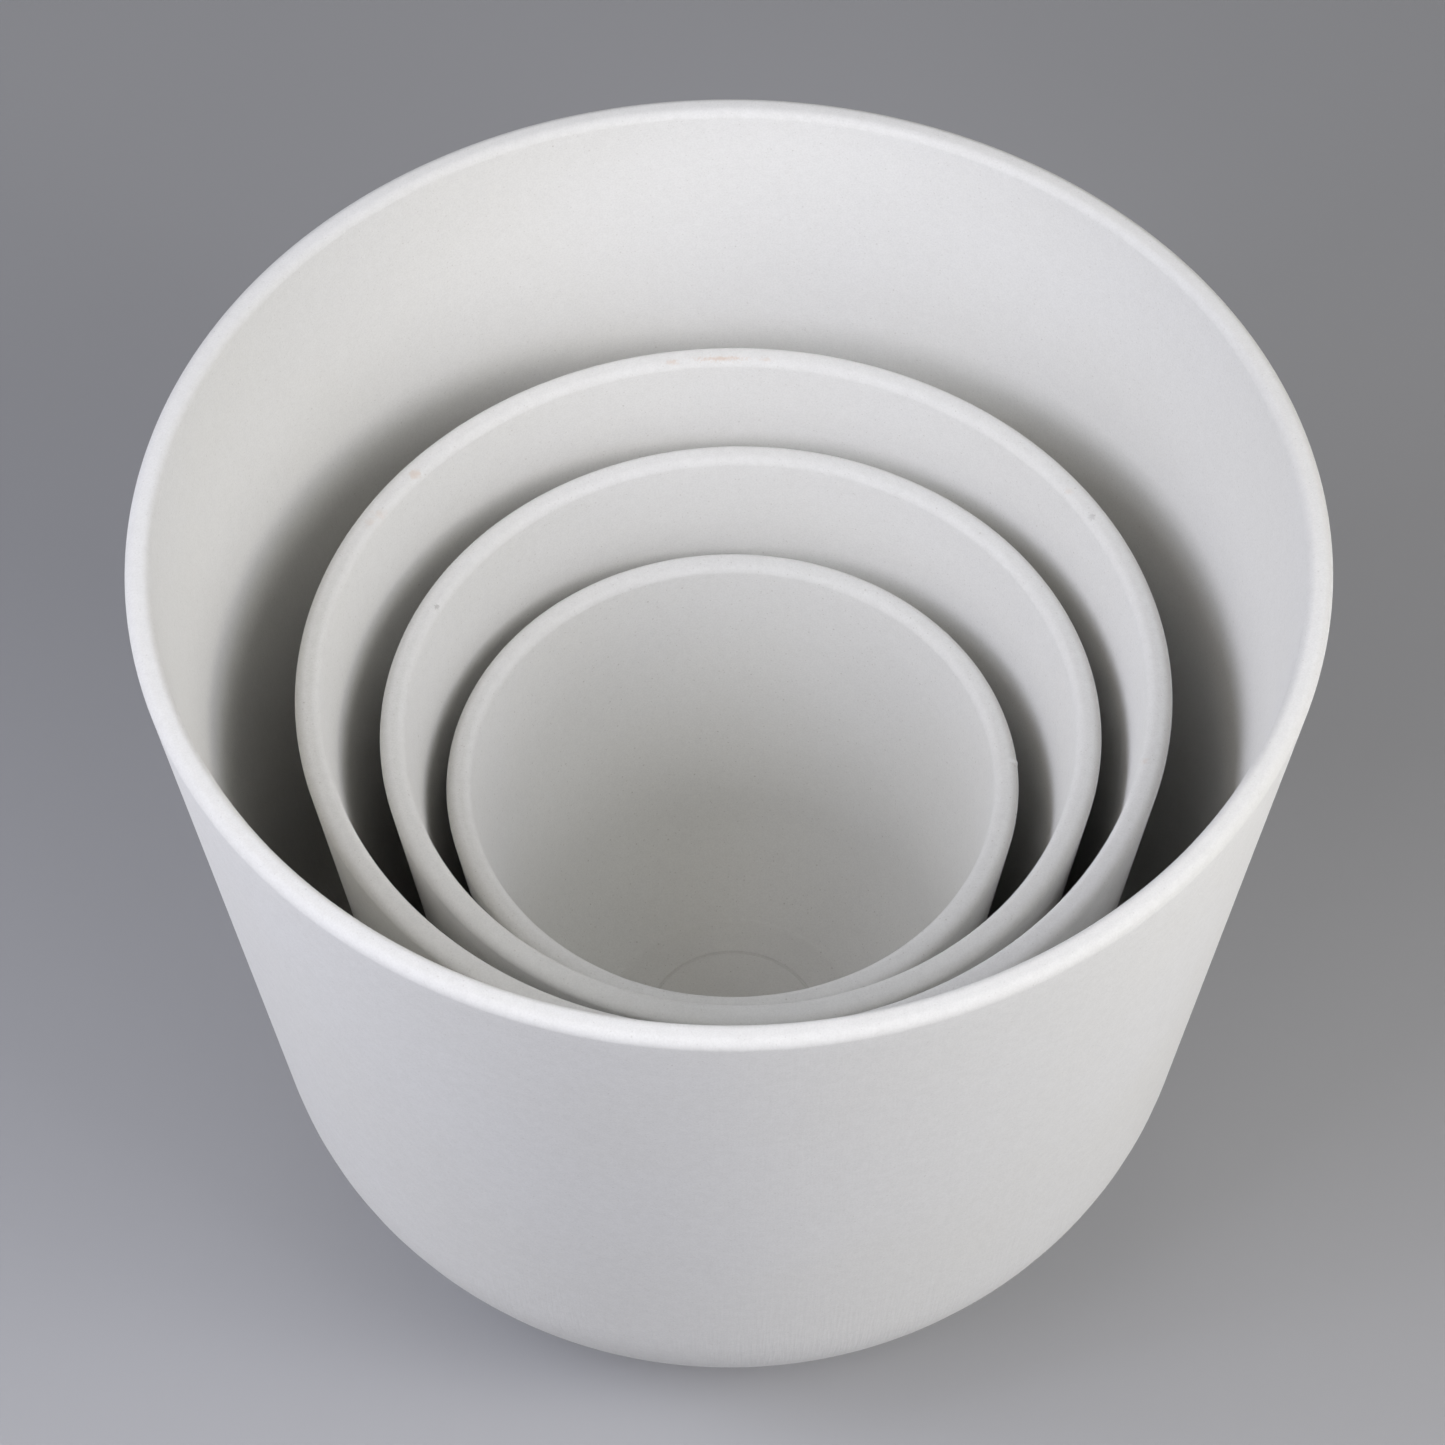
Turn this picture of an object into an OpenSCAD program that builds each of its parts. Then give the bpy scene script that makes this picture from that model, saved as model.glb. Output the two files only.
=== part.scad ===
// Nested set of four open crucibles, nominally 16, 12, 10 and 8 inch across the rim.
// Each one stands loose on the floor of the next larger one.
// Millimetres, +Z up, origin at the centre of the largest crucible's underside.

/* [Rim sizes] */
// Diameter over the rim of the largest crucible
rim_d_16 = 406.4; // [390:0.1:430]
// Diameter over the rim of the second crucible
rim_d_12 = 306.4; // [290:0.1:315]
// Diameter over the rim of the third crucible
rim_d_10 = 255; // [242:0.1:262]
// Diameter over the rim of the smallest crucible
rim_d_8 = 205.2; // [192:0.1:210]

/* [Heights] */
// Height of the largest crucible
height_16 = 336; // [320:1:350]
// Height of the second crucible
height_12 = 248; // [235:1:260]
// Height of the third crucible
height_10 = 213.5; // [205:0.5:222]
// Height of the smallest crucible
height_8 = 172; // [160:1:180]

/* [Wall] */
// Thickness of wall and floor, the same on every crucible
wall = 9; // [7:0.1:10]
// Slope of the wall away from vertical, in degrees
taper = 7.5; // [5:0.1:9]

/* [Heel] */
// Radius of the heel between wall and underside, as a share of the rim diameter
heel = 0.25; // [0.23:0.005:0.27]
// How far the hollow's heel arc sits below a concentric one, which leaves an edge round the flat floor
heel_sink = 2.2; // [1:0.1:3]

/* [Rim] */
// Fillet on the outer edge of the rim
rim_r_out = 3.6; // [2:0.1:4]
// Fillet on the inner edge of the rim
rim_r_in = 3.4; // [1.5:0.1:4]

/* [Floor ring] */
// Radius of the moulding ring in the floor, as a share of the rim diameter
ring_r = 0.16; // [0.1:0.002:0.19]
// Depth of the ring groove
ring_depth = 0.4; // [0.2:0.1:0.8]
// Radius of the groove's round section
ring_section_r = 0.9; // [0.9:0.1:2]

/* [Nesting] */
// Sideways offset of the second crucible
offset_12 = 1.6; // [-3:0.1:3]
// Sideways offset of the third crucible
offset_10 = 4; // [0:0.1:5]
// Sideways offset of the smallest crucible
offset_8 = 1.1; // [0:0.1:4]
// Clearance under each crucible that stands in another
seat_gap = 0.05; // [0.02:0.01:0.2]

/* [Hidden] */
$fn = 256;
white = [0.93, 0.93, 0.92];
over = 1;                    // how far cutting shapes reach past the rim plane
lap = 0.002;                 // how far each curve stands proud of the next, so that the two cross cleanly
past = 8;                    // how many degrees a wedge reaches past the place where its arc ends
wedge_reach = 2;             // length of a wedge's sides, in radii
step_up = wall + seat_gap;   // from one underside to the underside of the crucible inside
up_wall = [sin(taper), cos(taper)];

// Unit vector in the section plane, at an angle from the outward radius
function toward(angle) = [cos(angle), sin(angle)];

// Centre of the outer rim fillet
function rim_centre(d, h) = [d / 2 - rim_r_out, h - rim_r_out];

// Where the outer rim fillet passes into the straight wall
function wall_top(d, h) = rim_centre(d, h) + (rim_r_out - lap) * toward(-taper);

// Centre of the heel arc, which carries on from the straight wall and ends in the flat underside
function heel_centre(d, h) =
    let (side = wall_top(d, h) - (d * heel - lap) * toward(-taper))
    side - (side[1] - d * heel) / cos(taper) * up_wall;

// Lower end of the straight wall, on the outside or, with an inset, on the inside
function wall_foot(d, h, inset) = heel_centre(d, h) + (d * heel - lap - inset) * toward(-taper);

// Point of the inner wall line at a given height
function inner_wall(d, h, z) =
    let (foot = wall_foot(d, h, wall))
    foot + (z - foot[1]) / cos(taper) * up_wall;

// Sector of a disc, between two directions less than 120 degrees apart
module wedge(centre, r, from, to) {
    reach = wedge_reach * r;
    intersection() {
        translate(centre) circle(r);
        polygon([centre, centre + reach * toward(from), centre + reach * toward((from + to) / 2),
                 centre + reach * toward(to)]);
    }
}

// Half section of the solid that the crucible is hollowed from
module body_section(d, h) {
    centre = heel_centre(d, h);
    polygon([[0, 0], [centre[0], 0], centre + d * heel / 2 * toward(-45), wall_foot(d, h, 0),
             wall_top(d, h), [rim_centre(d, h)[0], h], [0, h]]);
    wedge(centre, d * heel, -90, past - taper);
    wedge(rim_centre(d, h), rim_r_out, -taper - past, 90);
}

// Half section of the hollow, with its flat floor
module hollow_section(d, h) {
    centre = heel_centre(d, h) - heel_sink * up_wall;
    r = d * heel - wall;
    intersection() {
        union() {
            polygon([[0, 0], [centre[0], 0], centre + r / 2 * toward(-45), centre + (r - lap) * toward(-taper),
                     inner_wall(d, h, h + over), [0, h + over]]);
            wedge(centre, r, -90, past - taper);
        }
        translate([0, wall]) square([d, h]);
    }
}

// What the rounded inner edge of the rim takes away
module inner_edge_cut(d, h) {
    in_wall = (rim_r_in - lap) * toward(-taper);
    edge = inner_wall(d, h, h - rim_r_in - in_wall[1]);
    centre = edge + in_wall;
    difference() {
        polygon([centre, centre - wedge_reach * in_wall, [edge[0] - over, h + over], [centre[0], h + over]]);
        translate(centre) circle(rim_r_in);
    }
}

// One crucible, its underside centred on the origin
module crucible(d, h) {
    rotate_extrude()
        difference() {
            body_section(d, h);
            hollow_section(d, h);
            inner_edge_cut(d, h);
            translate([ring_r * d, wall + ring_section_r - ring_depth]) circle(ring_section_r);
        }
}

module crucible_16_inch() {
    color(white) crucible(rim_d_16, height_16);
}

module crucible_12_inch() {
    color(white) translate([offset_12, 0, step_up]) crucible(rim_d_12, height_12);
}

module crucible_10_inch() {
    color(white) translate([offset_10, 0, 2 * step_up]) crucible(rim_d_10, height_10);
}

module crucible_8_inch() {
    color(white) translate([offset_8, 0, 3 * step_up]) crucible(rim_d_8, height_8);
}

crucible_16_inch();
crucible_12_inch();
crucible_10_inch();
crucible_8_inch();
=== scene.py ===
"""Looks for a nested set of four unglazed white crucibles. Metres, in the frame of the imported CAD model."""

import math

import bpy
from mathutils import Matrix, Vector, noise


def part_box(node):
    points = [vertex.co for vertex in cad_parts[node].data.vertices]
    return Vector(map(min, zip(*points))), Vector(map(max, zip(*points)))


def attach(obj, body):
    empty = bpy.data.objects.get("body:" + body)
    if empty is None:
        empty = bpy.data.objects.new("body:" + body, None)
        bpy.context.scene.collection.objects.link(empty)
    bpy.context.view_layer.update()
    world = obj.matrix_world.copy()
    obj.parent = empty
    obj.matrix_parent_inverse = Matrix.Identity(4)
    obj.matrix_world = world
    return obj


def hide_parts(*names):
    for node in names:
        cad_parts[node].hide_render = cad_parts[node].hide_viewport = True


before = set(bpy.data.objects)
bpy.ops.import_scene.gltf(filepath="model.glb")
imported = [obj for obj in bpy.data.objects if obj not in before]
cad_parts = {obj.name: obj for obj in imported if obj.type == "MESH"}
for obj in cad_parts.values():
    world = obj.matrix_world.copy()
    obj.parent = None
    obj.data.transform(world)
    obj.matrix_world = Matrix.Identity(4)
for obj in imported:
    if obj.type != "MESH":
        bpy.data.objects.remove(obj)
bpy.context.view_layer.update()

# ---------------------------------------------------------------- crucible dimensions, metres
WALL = 0.009
TAPER = math.radians(7.5)
HEEL = 0.25                            # radius of the heel arc as a share of the rim diameter
HEEL_SINK = 0.0022                     # how far the hollow's heel arc sits below a concentric one
RIM_R_OUT = 0.0036
RIM_R_IN = 0.0034
RING_SHARE = 0.16                      # radius of the ring groove as a share of the rim diameter
RING_DEPTH = 0.0004
RING_R = 0.0009

# ---------------------------------------------------------------- mesh resolution
COLUMNS = 400                          # around each crucible
WALL_STEP = 0.005                      # along straight stretches
ARC_STEP = math.radians(4)
RIM_STEP = math.radians(10)
GROOVE_STEP = math.radians(15)
SHARP_FROM = math.radians(10)          # edges that turn more than this are shaded sharp

# ---------------------------------------------------------------- hand finish of the surface
OUT_OF_ROUND = 0.00022                 # how far a wall wanders from true, into its own thickness
RIM_GRINDING = 0.00018                 # how far the ground top of a rim dips
FLOOR_PAINTED_SHADE = 0.30                      # how dark the painted shade on a floor is, where its ring groove's is 1
WANDER_ROUND, WANDER_UP = 1.3, 4       # how fast the wall wanders around the axis and up it
GRINDING_ROUND = 3                     # how fast the rim's top dips around the axis
CALM_RADIUS = 0.02                     # nearer to the axis than this, the wandering fades out
BURR_SEAT = 0.3                        # how far in and down a burr sits, in outer fillet radii
BURR_LEAN = (0.8, 0.6)                 # how a burr's height splits into outwards and up


def toward(angle):
    """Unit vector in the section plane, at an angle from the outward radius."""
    return Vector((math.cos(angle), math.sin(angle)))


def arc(centre, radius, start, end, step):
    """Points of an arc in the section plane, both ends included."""
    count = max(2, math.ceil(abs(end - start) / step))
    return [centre + radius * toward(start + (end - start) * i / count) for i in range(count + 1)]


def run(start, end, step):
    """Points inside a straight stretch, its two ends left out."""
    count = max(1, math.ceil((end - start).length / step))
    return [start.lerp(end, i / count) for i in range(1, count)]


def section(rim_d, height):
    """Half section as (point, inside, rim, painted shade) rows, from under the middle round to the floor."""
    up_wall = Vector((math.sin(TAPER), math.cos(TAPER)))
    rim_centre = Vector((rim_d / 2 - RIM_R_OUT, height - RIM_R_OUT))
    heel_r = rim_d * HEEL
    wall_top = rim_centre + RIM_R_OUT * toward(-TAPER)
    side = wall_top - heel_r * toward(-TAPER)
    heel_centre = side - up_wall * ((side.y - heel_r) / math.cos(TAPER))
    outside = arc(heel_centre, heel_r, -math.pi / 2, -TAPER, ARC_STEP)
    outside = run(Vector((0, 0)), outside[0], WALL_STEP) + outside
    outside += run(outside[-1], wall_top, WALL_STEP)

    hollow_centre = heel_centre - HEEL_SINK * up_wall
    hollow_r = heel_r - WALL
    foot = hollow_centre + hollow_r * toward(-TAPER)
    in_wall = RIM_R_IN * toward(-TAPER)
    edge = foot + up_wall * ((height - RIM_R_IN - in_wall.y - foot.y) / math.cos(TAPER))
    rim = arc(rim_centre, RIM_R_OUT, -TAPER, math.pi / 2, RIM_STEP)
    inner_rim = arc(edge + in_wall, RIM_R_IN, math.pi / 2, math.pi - TAPER, RIM_STEP)
    rim += run(rim[-1], inner_rim[0], WALL_STEP / 4) + inner_rim

    floor_edge = -math.asin((hollow_centre.y - WALL) / hollow_r)
    inside = run(edge, foot, WALL_STEP)
    inside += arc(hollow_centre, hollow_r, -TAPER, floor_edge, ARC_STEP)
    groove_centre = Vector((RING_SHARE * rim_d, WALL + RING_R - RING_DEPTH))
    opening = math.asin((RING_R - RING_DEPTH) / RING_R)
    groove = arc(groove_centre, RING_R, -opening, opening - math.pi, GROOVE_STEP)
    around = run(inside[-1], groove[0], WALL_STEP / 2) + groove[:1]
    middle = groove[-1:] + run(groove[-1], Vector((0, WALL)), WALL_STEP)
    # The last value in each row is painted shade: some on the floor, full in the ring groove.
    return ([(p, 0.0, 0.0, 0.0) for p in outside] + [(p, 0.0, 1.0, 0.0) for p in rim]
            + [(p, 1.0, 0.0, 0.0) for p in inside] + [(p, 1.0, 0.0, FLOOR_PAINTED_SHADE) for p in around]
            + [(p, 1.0, 0.0, 1.0) for p in groove[1:-1]] + [(p, 1.0, 0.0, FLOOR_PAINTED_SHADE) for p in middle])


def columns(rim_d, burrs):
    """Angles of the mesh's columns: even all round, and closer together across each burr."""
    angles = {round(2 * math.pi * i / COLUMNS, 6) for i in range(COLUMNS)}
    for burr in burrs:
        spread = burr["width"] / (rim_d / 2)
        angles |= {round((burr["angle"] + spread * k / 5) % (2 * math.pi), 6) for k in range(-6, 7)}
    return sorted(angles)


def burr_height(burr, rim_d, angle, point, rim_point):
    """How far a burr lifts a rim point, from nothing at its border to its full height in the middle."""
    turn = (angle - burr["angle"] + math.pi) % (2 * math.pi) - math.pi
    along = turn * rim_d / 2 / burr["width"]
    across = (point - rim_point).length / burr["reach"]
    return burr["height"] * max(0.0, 1 - along * along - across * across)


def quads(rings, ring):
    """Faces between neighbouring rings of a surface of revolution."""
    faces = []
    for row in range(rings - 1):
        low, high = row * ring, (row + 1) * ring
        for column in range(ring):
            nxt = (column + 1) % ring
            faces.append((low + column, low + nxt, high + nxt, high + column))
    return faces


def crucible_mesh(name, rim_d, height, centre, burrs, seed):
    """A closed, slightly uneven vessel of revolution, with its inside and its painted floor shade marked in
    attributes.
    """
    rows = section(rim_d, height)
    angles = columns(rim_d, burrs)
    seat = RIM_R_OUT * BURR_SEAT
    rim_point = Vector((rim_d / 2 - seat, height - seat))
    verts, marks = [], []
    for point, is_inside, is_rim, painted_shade in rows:
        for angle in angles:
            heading = Vector((math.cos(angle), math.sin(angle), 0))
            sample = heading * WANDER_ROUND + Vector((seed, 0, point.y * WANDER_UP))
            inwards = OUT_OF_ROUND * (0.5 + 0.5 * noise.noise(sample))
            down = 0.0
            if is_rim:
                dip = noise.noise(heading * GRINDING_ROUND + Vector((0, seed, 0)))
                down = RIM_GRINDING * (0.5 + 0.5 * dip)
                for burr in burrs:
                    lift = burr_height(burr, rim_d, angle, point, rim_point)
                    inwards -= lift * BURR_LEAN[0]
                    down -= lift * BURR_LEAN[1]
            radius = point.x - inwards * min(1.0, point.x / CALM_RADIUS) * (-1 if is_inside else 1)
            verts.append(centre + heading * radius + Vector((0, 0, point.y - down)))
            marks.append((is_inside, painted_shade))
    ring = len(angles)
    faces = quads(len(rows), ring)
    last = (len(rows) - 1) * ring
    bottom, floor = len(verts), len(verts) + 1
    verts += [centre.copy(), centre + Vector((0, 0, WALL))]
    marks += [(0.0, 0.0), (1.0, FLOOR_PAINTED_SHADE)]
    for column in range(ring):
        nxt = (column + 1) % ring
        faces.append((bottom, nxt, column))
        faces.append((floor, last + column, last + nxt))
    mesh = bpy.data.meshes.new(name)
    mesh.from_pydata(verts, [], faces)
    # The second attribute carries the painted shade on the floor and in its groove.
    for index, attribute_name in enumerate(("inside", "painted_shade")):
        attribute = mesh.attributes.new(attribute_name, "FLOAT", "POINT")
        attribute.data.foreach_set("value", [mark[index] for mark in marks])
    mesh.validate()
    mesh.update()
    mesh.shade_smooth()
    mesh.set_sharp_from_angle(angle=SHARP_FROM)
    return mesh


# ---------------------------------------------------------------- material nodes
class Nodes:
    """Short calls that add and link shader nodes."""

    def __init__(self, name):
        self.material = bpy.data.materials.new(name)
        self.material.use_nodes = True
        self.tree = self.material.node_tree
        self.tree.nodes.clear()
        self.shader = self.add("ShaderNodeBsdfPrincipled")
        output = self.add("ShaderNodeOutputMaterial")
        self.link(self.shader.outputs["BSDF"], output.inputs["Surface"])
        self.place = self.add("ShaderNodeTexCoord").outputs["Object"]

    def add(self, kind, **settings):
        node = self.tree.nodes.new(kind)
        for key, value in settings.items():
            setattr(node, key, value)
        return node

    def link(self, source, target):
        """Links a socket, or sets a plain value."""
        if isinstance(source, bpy.types.NodeSocket):
            self.tree.links.new(source, target)
        else:
            target.default_value = source

    def math(self, operation, a, b=0.0, c=0.0):
        node = self.add("ShaderNodeMath", operation=operation)
        for socket, value in zip(node.inputs, (a, b, c)):
            self.link(value, socket)
        return node.outputs[0]

    def ramp(self, value, low, high, to_low=0.0, to_high=1.0):
        """Value from low..high, smoothly on to to_low..to_high."""
        node = self.add("ShaderNodeMapRange", interpolation_type="SMOOTHSTEP")
        for socket, number in zip(node.inputs, (value, low, high, to_low, to_high)):
            self.link(number, socket)
        return node.outputs[0]

    def noise(self, scale, detail=2.0, roughness=0.5, place=None):
        node = self.add("ShaderNodeTexNoise")
        self.link(self.place if place is None else place, node.inputs["Vector"])
        self.link(scale, node.inputs["Scale"])
        self.link(detail, node.inputs["Detail"])
        self.link(roughness, node.inputs["Roughness"])
        return node.outputs["Fac"]

    def mix(self, factor, a, b):
        """Colour a, covered by colour b as far as factor says."""
        node = self.add("ShaderNodeMix", data_type="RGBA")
        self.link(factor, node.inputs["Factor"])
        self.link(a, node.inputs["A"])
        self.link(b, node.inputs["B"])
        return node.outputs["Result"]

    def attribute(self, name):
        return self.add("ShaderNodeAttribute", attribute_name=name).outputs["Fac"]

    def specks(self, cells_per_metre, share, size, softness):
        """A scatter of round specks: share of the cells hold one, with a radius up to size of a cell."""
        node = self.add("ShaderNodeTexVoronoi", feature="F1")
        self.link(self.place, node.inputs["Vector"])
        self.link(cells_per_metre, node.inputs["Scale"])
        split = self.add("ShaderNodeSeparateColor")
        self.link(node.outputs["Color"], split.inputs["Color"])
        chosen = self.math("LESS_THAN", split.outputs["Red"], share)
        radius = self.math("MULTIPLY_ADD", split.outputs["Green"], size * 0.6, size * 0.4)
        inner = self.math("MULTIPLY", radius, 1 - softness)
        spot = self.ramp(node.outputs["Distance"], radius, inner)
        return self.math("MULTIPLY", spot, chosen)

    def bump(self, height, distance, below=None):
        node = self.add("ShaderNodeBump")
        self.link(1.0, node.inputs["Strength"])
        self.link(distance, node.inputs["Distance"])
        self.link(height, node.inputs["Height"])
        if below is not None:
            self.link(below, node.inputs["Normal"])
        return node.outputs["Normal"]


WHITE = (0.82, 0.815, 0.79)
WARMER = (0.985, 0.98, 0.96)           # how the clouds tint the white
GRAIN_COLOUR = (0.50, 0.49, 0.46, 1)
SAND_COLOUR = (0.45, 0.44, 0.41, 1)
SPECK_COLOUR = (0.30, 0.26, 0.21, 1)
# Painted shade on each floor, darkest in its ring groove
PAINTED_SHADE_COLOUR = (0.40, 0.38, 0.34, 1)

# How far each layer covers the ones below it
CLOUD_COVER = 0.5
GRAIN_COVER, GRAIN_COVER_INSIDE = 0.075, -0.03   # on the outside, and what the inside adds
SAND_COVER = 0.12
SPECK_SHOW, SPECK_SHOW_INSIDE = 0.9, 0.1         # on the outside, and what the inside adds
# Painted shade on the floors and in their ring grooves
PAINTED_SHADE_COVER = 0.18

# How fine each noise is, in waves per metre
CLOUD_SCALE, UNEVEN_SCALE, GRAIN_SCALE, ROUGH_SCALE, SAND_SCALE = 9.0, 55.0, 260.0, 320.0, 1500.0

# Heights of the bumps, metres
UNEVEN_HEIGHT = 0.00025
SAND_HEIGHT = 0.00006
PIT_HEIGHT = 0.00005
DRAG_HEIGHT = 0.0003

SPECKS = [
    # cells per metre, share of cells that hold a speck, largest radius in cells, strength
    (620.0, 0.60, 0.26, 0.22),
    (240.0, 0.60, 0.13, 0.28),
    (80.0, 0.30, 0.05, 0.40),
]
SPECK_SOFTNESS = 0.7
PITS = (420.0, 0.35, 0.22, 0.9)        # cells per metre, share, largest radius, softness


def ceramic(name, seed, speck_strength, marks, drag_lines):
    """Unglazed white ceramic: clouded colour, dark grains, sandy surface, painted shade on the floor, and
    marks at chosen places.
    """
    n = Nodes(name)
    shift = n.add("ShaderNodeVectorMath", operation="ADD")
    n.link(n.place, shift.inputs[0])
    shift.inputs[1].default_value = (seed, 0.0, 0.0)
    n.place = shift.outputs[0]

    clouds = n.ramp(n.noise(CLOUD_SCALE, 4.0), 0.35, 0.65)
    warm = [channel * tint for channel, tint in zip(WHITE, WARMER)]
    colour = n.mix(n.math("MULTIPLY", clouds, CLOUD_COVER), (*WHITE, 1), (*warm, 1))
    inside = n.attribute("inside")
    most = n.math("MULTIPLY_ADD", inside, GRAIN_COVER_INSIDE, GRAIN_COVER)
    grain = n.ramp(n.noise(GRAIN_SCALE, 4.0, 0.65), 0.35, 0.65, 0.0, most)
    colour = n.mix(grain, colour, GRAIN_COLOUR)
    sand = n.noise(SAND_SCALE, 2.0, 0.6)
    colour = n.mix(n.ramp(sand, 0.35, 0.70, 0.0, SAND_COVER), colour, SAND_COLOUR)

    show_inside, show = SPECK_SHOW_INSIDE * speck_strength, SPECK_SHOW * speck_strength
    visible = n.math("MULTIPLY_ADD", inside, show_inside, show)
    for cells_per_metre, share, size, strength in SPECKS:
        spots = n.math("MULTIPLY", n.specks(cells_per_metre, share, size, SPECK_SOFTNESS), visible)
        colour = n.mix(n.math("MULTIPLY", spots, strength), colour, SPECK_COLOUR)
    # Painted shade: darkens each floor a little and its ring groove most
    colour = n.mix(n.math("MULTIPLY", n.attribute("painted_shade"), PAINTED_SHADE_COVER), colour, PAINTED_SHADE_COLOUR)
    for mark in marks:
        colour = add_mark(n, colour, mark, seed)
    n.link(colour, n.shader.inputs["Base Color"])

    rough = n.ramp(n.noise(ROUGH_SCALE, 3.0), 0.3, 0.7, 0.70, 0.80)
    n.link(rough, n.shader.inputs["Roughness"])
    n.shader.inputs["Diffuse Roughness"].default_value = 0.3
    n.shader.inputs["Specular IOR Level"].default_value = 0.3

    normal = n.bump(n.noise(UNEVEN_SCALE, 3.0), UNEVEN_HEIGHT)
    normal = n.bump(sand, SAND_HEIGHT, normal)
    pits = n.math("SUBTRACT", 1.0, n.specks(*PITS))
    normal = n.bump(pits, PIT_HEIGHT, normal)
    if drag_lines:
        normal = n.bump(drag_line_height(n), DRAG_HEIGHT, normal)
    n.link(normal, n.shader.inputs["Normal"])
    return n.material


def drag_line_height(n):
    """Fine upright drag lines low on the outside, fading out towards the rim."""
    split = n.add("ShaderNodeSeparateXYZ")
    n.link(n.add("ShaderNodeTexCoord").outputs["Object"], split.inputs[0])
    angle = n.math("ARCTAN2", split.outputs["Y"], split.outputs["X"])
    join = n.add("ShaderNodeCombineXYZ")
    n.link(angle, join.inputs["X"])
    n.link(n.math("MULTIPLY", split.outputs["Z"], 0.35), join.inputs["Y"])
    lines = n.noise(150.0, 2.0, 0.5, join.outputs[0])
    low = n.ramp(split.outputs["Z"], 0.05, 0.16, 1.0, 0.15)
    return n.math("MULTIPLY", lines, low)


def add_mark(n, colour, mark, seed):
    """A stain or speck of the mark's colour, broken up by noise, around its place and stretched along X."""
    gap = n.add("ShaderNodeVectorMath", operation="SUBTRACT")
    n.link(n.place, gap.inputs[0])
    gap.inputs[1].default_value = Vector(mark["place"]) + Vector((seed, 0, 0))
    squeezed = n.add("ShaderNodeVectorMath", operation="DIVIDE")
    n.link(gap.outputs["Vector"], squeezed.inputs[0])
    squeezed.inputs[1].default_value = (mark["length"], 1, 1)
    distance = n.add("ShaderNodeVectorMath", operation="LENGTH")
    n.link(squeezed.outputs["Vector"], distance.inputs[0])
    size = mark["size"]
    ragged = n.ramp(n.noise(1.6 / size, 3.0, 0.6), 0.25, 0.75, 1.5, 0.5)
    reach = n.math("MULTIPLY", distance.outputs["Value"], ragged)
    cover = n.ramp(reach, size, size * mark["core"], 0.0, mark["strength"])
    return n.mix(cover, colour, (*mark["colour"], 1))


# ---------------------------------------------------------------- the four crucibles
def rim_place(node, degrees, inset):
    """A place on top of a crucible's rim: at an angle, and inset from its outer edge."""
    low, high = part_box(node)
    centre = (low + high) / 2
    reach = (high.x - low.x) / 2 - inset
    angle = math.radians(degrees)
    return Vector((centre.x + reach * math.cos(angle), reach * math.sin(angle), high.z))


TAN = (0.64, 0.42, 0.26)
GREY = (0.16, 0.14, 0.12)


def stain(node, degrees, inset, size, strength, colour=TAN, core=0.1, length=1.0):
    """A mark on a rim: size is its radius, core the share at full strength, length its stretch in X."""
    return {"place": rim_place(node, degrees, inset), "size": size, "strength": strength,
            "colour": colour, "core": core, "length": length}


LARGEST, SECOND = "crucible_16_inch", "crucible_12_inch"
THIRD, SMALLEST = "crucible_10_inch", "crucible_8_inch"
second_marks = [
    stain(SECOND, 91, 0.0070, 0.0014, 0.42, length=8.5),
    stain(SECOND, 98, 0.0070, 0.0016, 0.30, length=2.0),
    stain(SECOND, 84.5, 0.0072, 0.0014, 0.24, length=2.0),
    stain(SECOND, 140.5, 0.0064, 0.0028, 0.30),
    stain(SECOND, 149, 0.0070, 0.0032, 0.16),
    stain(SECOND, 151, 0.0060, 0.0026, 0.14),
    stain(SECOND, 34, 0.0068, 0.0022, 0.14),
    stain(SECOND, 345, 0.0072, 0.0020, 0.16),
    stain(SECOND, 28.5, 0.0064, 0.0017, 0.22, colour=GREY, core=0.3),
]
third_marks = [stain(THIRD, 154, 0.0072, 0.0012, 0.35, colour=GREY, core=0.5)]
burr = {"angle": math.radians(3), "width": 0.0012, "reach": 0.0030, "height": 0.0006}

CRUCIBLES = [
    {"node": LARGEST, "body": "largest", "slot": "outer_ceramic", "seed": 3.1, "specks": 0.8,
     "marks": [], "burrs": [], "drag_lines": True},
    {"node": SECOND, "body": "second", "slot": "stained_ceramic", "seed": 7.7, "specks": 1.0,
     "marks": second_marks, "burrs": [], "drag_lines": False},
    {"node": THIRD, "body": "third", "slot": "inner_ceramic", "seed": 11.9, "specks": 1.0,
     "marks": third_marks, "burrs": [], "drag_lines": False},
    {"node": SMALLEST, "body": "smallest", "slot": "inner_ceramic", "seed": 17.3, "specks": 1.25,
     "marks": [], "burrs": [burr], "drag_lines": False},
]

for vessel in CRUCIBLES:
    low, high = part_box(vessel["node"])
    centre = Vector(((low.x + high.x) / 2, (low.y + high.y) / 2, low.z))
    name = vessel["node"].replace("crucible_", "ceramic_")
    mesh = crucible_mesh(name, high.x - low.x, high.z - low.z, centre, vessel["burrs"], vessel["seed"])
    mesh.materials.append(ceramic(name + "_surface", vessel["seed"], vessel["specks"],
                                  vessel["marks"], vessel["drag_lines"]))
    piece = bpy.data.objects.new(name, mesh)
    bpy.context.scene.collection.objects.link(piece)
    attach(piece, vessel["body"])
    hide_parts(vessel["node"])

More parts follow.
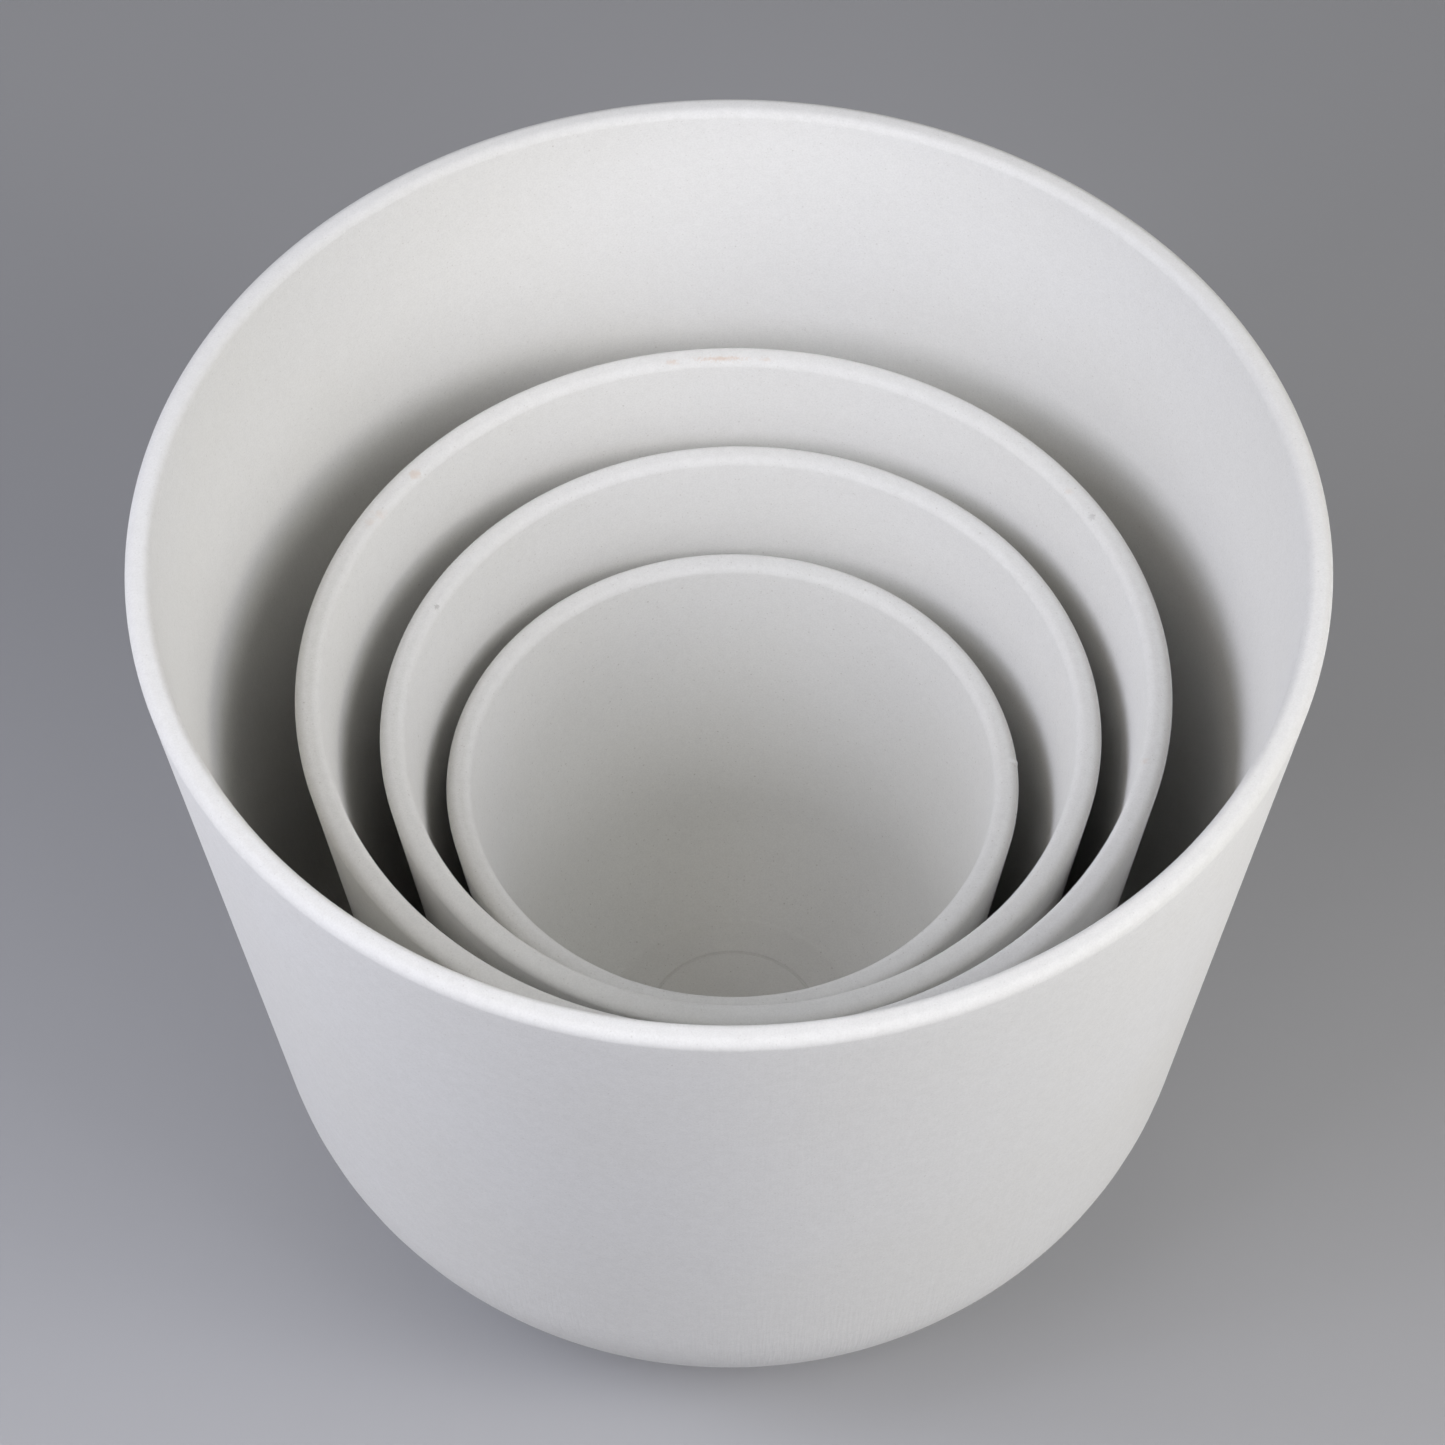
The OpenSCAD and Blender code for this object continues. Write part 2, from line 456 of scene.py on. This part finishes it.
# ---------------------------------------------------------------- floor, light and camera
FLOOR_REACH = 12.0
FLOOR_TONE = (0.40, 0.40, 0.405, 1)
corners = [(-FLOOR_REACH, -FLOOR_REACH, 0), (FLOOR_REACH, -FLOOR_REACH, 0),
           (FLOOR_REACH, FLOOR_REACH, 0), (-FLOOR_REACH, FLOOR_REACH, 0)]
floor_mesh = bpy.data.meshes.new("floor")
floor_mesh.from_pydata(corners, [], [(0, 1, 2, 3)])
floor = bpy.data.objects.new("floor", floor_mesh)
bpy.context.scene.collection.objects.link(floor)
floor_nodes = Nodes("pale_floor")
floor_nodes.link(FLOOR_TONE, floor_nodes.shader.inputs["Base Color"])
floor_nodes.link(0.9, floor_nodes.shader.inputs["Roughness"])
floor_mesh.materials.append(floor_nodes.material)

world = bpy.data.worlds.new("studio")
world.use_nodes = True
background = world.node_tree.nodes["Background"]
background.inputs["Color"].default_value = (0.92, 0.95, 1.0, 1)
background.inputs["Strength"].default_value = 0.02
bpy.context.scene.world = world

AIM = Vector((0, 0, 0.2))
LIGHT_DISTANCE = 1.5
LIGHTS = [
    # name, azimuth from +X, elevation, width, watts, colour
    ("left_low", 180, 24, 0.6, 4.5, (0.87, 0.89, 1.0)),
    ("left_high", 200, 48, 0.6, 6.3, (0.82, 0.87, 1.0)),
    ("left_top", 200, 65, 0.6, 1.4, (1.0, 0.89, 0.80)),
    ("front_left", 220, 36, 0.6, 6.8, (0.91, 0.90, 1.0)),
    ("front_left_spot", 250, 46, 0.3, 0.8, (1.0, 1.0, 1.0)),
    ("front_low", 300, 24, 0.6, 1.8, (0.83, 0.87, 1.0)),
    ("front_right_spot", 296, 46, 0.3, 0.8, (1.0, 1.0, 1.0)),
    ("front_right", 320, 36, 0.6, 3.4, (0.83, 0.82, 1.0)),
    ("front_right_high", 320, 48, 0.6, 5.5, (0.97, 0.98, 0.97)),
    ("right_low", 340, 24, 0.6, 7.0, (1.0, 0.97, 0.90)),
    ("back", 90, 24, 0.6, 1.0, (0.96, 0.97, 1.0)),
]


def add_light(name, azimuth, elevation, width, watts, colour):
    """A square softbox, aimed at the middle of the set."""
    lamp = bpy.data.lights.new(name, "AREA")
    lamp.size = width
    lamp.energy = watts
    lamp.color = colour
    turn, rise = math.radians(azimuth), math.radians(elevation)
    heading = Vector((math.cos(turn) * math.cos(rise), math.sin(turn) * math.cos(rise), math.sin(rise)))
    light = bpy.data.objects.new(name, lamp)
    light.location = AIM + heading * LIGHT_DISTANCE
    light.rotation_euler = (-heading).to_track_quat("-Z", "Y").to_euler()
    bpy.context.scene.collection.objects.link(light)


for light in LIGHTS:
    add_light(*light)


def look(pitch_down, yaw, roll):
    """Camera rotation from degrees: down from level, to the right of +Y, and about the line of sight."""
    pitch, turn, tilt = (math.radians(v) for v in (pitch_down, yaw, roll))
    ahead = Vector((math.sin(turn) * math.cos(pitch), math.cos(turn) * math.cos(pitch), -math.sin(pitch)))
    right = Vector((math.cos(turn), -math.sin(turn), 0))
    upward = right.cross(ahead)
    right, upward = (right * math.cos(tilt) + upward * math.sin(tilt),
                     upward * math.cos(tilt) - right * math.sin(tilt))
    return Matrix((right, upward, -ahead)).transposed()


CAMERA_PLACE = (-0.0132, -1.0709, 1.6831)
CAMERA_TURN = (53.595, 0.58, -0.235)
CAMERA_LENS = 127.37
camera_data = bpy.data.cameras.new("camera")
camera_data.lens = CAMERA_LENS
camera_data.sensor_width = 36.0
camera_data.clip_end = 60.0
camera = bpy.data.objects.new("camera", camera_data)
camera.matrix_world = Matrix.Translation(CAMERA_PLACE) @ look(*CAMERA_TURN).to_4x4()
bpy.context.scene.collection.objects.link(camera)
bpy.context.scene.camera = camera
bpy.context.scene.view_settings.view_transform = "Standard"
